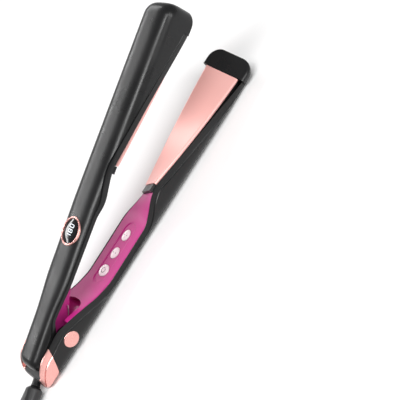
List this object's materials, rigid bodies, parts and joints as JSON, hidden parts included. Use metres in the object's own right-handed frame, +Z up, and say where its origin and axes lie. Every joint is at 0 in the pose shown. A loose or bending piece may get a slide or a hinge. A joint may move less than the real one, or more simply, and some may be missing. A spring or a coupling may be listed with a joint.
{
  "type": "flat iron",
  "caption": "Twisted-plate hair straightener, sprung open, with floating heated plates, round display, three buttons and a swivel mains cord.",
  "frame": {"origin": "centre of the iron's footprint, on the floor under the lower arm's back", "axes": "+X from the cord end to the tip, +Z up from the lower arm to the upper arm"},
  "size_m": [0.5114, 0.0543, 0.0941],
  "materials": {
    "charcoal_shell": "satin charcoal, smooth moulded, roughness about 0.3",
    "magenta_cover": "pearl magenta lacquer, satin",
    "rose_gold": "rose gold plated plastic, bright",
    "plate_coating": "pale rose gold ceramic coating on aluminium, satin",
    "black_plastic": "black moulded nylon",
    "button_white": "near-white with a faint pink tint, satin",
    "dark_glass": "black glossy display window",
    "sensor_glass": "glass bead temperature sensor",
    "steel": "bright plated steel",
    "circuit_board": "green solder mask",
    "heater_ceramic": "white ceramic heater strip",
    "silicone": "heat resistant silicone rubber",
    "black_rubber": "black PVC lead sheath, smooth"
  },
  "bodies": {
    "lower_arm_body": {"lower_shell": "charcoal_shell", "lower_handle_cover": "magenta_cover", "tail_cap": "rose_gold", "hinge_cap_left": "rose_gold", "hinge_cap_right": "rose_gold", "lower_plate_carrier": "black_plastic", "swivel_retainer": "black_plastic", "hinge_washer": "black_plastic", "switch_plus": "black_plastic", "switch_minus": "black_plastic", "switch_power": "black_plastic", "power_relay": "black_plastic", "cord_tie": "black_plastic", "hinge_pin": "steel", "hinge_spring": "steel", "cap_screw": "steel", "lower_carrier_screw": "steel", "plug_prong_left": "steel", "plug_prong_right": "steel", "control_board": "circuit_board", "lower_rear_cushion": "silicone", "lower_front_cushion": "silicone", "cord_lead": "black_rubber", "cord_hank": "black_rubber", "cord_tail": "black_rubber", "plug_body": "black_rubber", "inner_lead": "black_rubber"},
    "lower_plate_body": {"lower_plate": "plate_coating", "lower_heater": "heater_ceramic", "lower_temperature_sensor": "sensor_glass"},
    "upper_plate_body": {"upper_plate": "plate_coating", "upper_heater": "heater_ceramic", "upper_temperature_sensor": "sensor_glass"},
    "upper_arm_body": {"upper_shell": "charcoal_shell", "upper_handle_cover": "magenta_cover", "upper_plate_carrier": "black_plastic", "upper_rear_cushion": "silicone", "upper_front_cushion": "silicone", "upper_carrier_screw": "steel", "display_ring": "rose_gold", "display_lens": "dark_glass", "display_board": "circuit_board"},
    "plus_body": {"button_plus": "button_white"},
    "minus_body": {"button_minus": "button_white"},
    "power_body": {"button_power": "button_white"},
    "swivel_body": {"swivel_ball": "black_plastic", "strain_relief": "black_rubber", "hanging_loop": "black_rubber"}
  },
  "joints": [
    {"name": "arm_hinge", "type": "hinge", "parent": "lower_arm_body", "child": "upper_arm_body", "pos_m": [-0.1005, 0, 0.012], "axis": [0, 1, 0], "range_deg": [0, 15.3], "stiffness_Nm_per_rad": 0.45, "springref_deg": -34.38, "deforming": ["hinge_spring"]},
    {"name": "lower_plate_float", "type": "slide", "parent": "lower_arm_body", "child": "lower_plate_body", "axis": [0, 0, -1], "range_m": [0, 0.0008], "stiffness_N_per_m": 2500, "springref_m": -0.0006, "deforming": ["lower_rear_cushion", "lower_front_cushion"]},
    {"name": "upper_plate_float", "type": "slide", "parent": "upper_arm_body", "child": "upper_plate_body", "axis": [-0.2639, 0, 0.9646], "range_m": [0, 0.0008], "stiffness_N_per_m": 2500, "springref_m": -0.0006, "deforming": ["upper_rear_cushion", "upper_front_cushion"]},
    {"name": "plus_press", "type": "slide", "parent": "lower_arm_body", "child": "plus_body", "axis": [0, 0, -1], "range_m": [0, 0.0005], "stiffness_N_per_m": 600, "springref_m": -0.001},
    {"name": "minus_press", "type": "slide", "parent": "lower_arm_body", "child": "minus_body", "axis": [0, 0, -1], "range_m": [0, 0.0005], "stiffness_N_per_m": 600, "springref_m": -0.001},
    {"name": "power_press", "type": "slide", "parent": "lower_arm_body", "child": "power_body", "axis": [0, 0, -1], "range_m": [0, 0.0005], "stiffness_N_per_m": 600, "springref_m": -0.001},
    {"name": "cord_swivel", "type": "hinge", "parent": "lower_arm_body", "child": "swivel_body", "pos_m": [-0.1335, 0, 0.0066], "axis": [-0.9135, -0.4067, 0], "continuous": true}
  ]
}
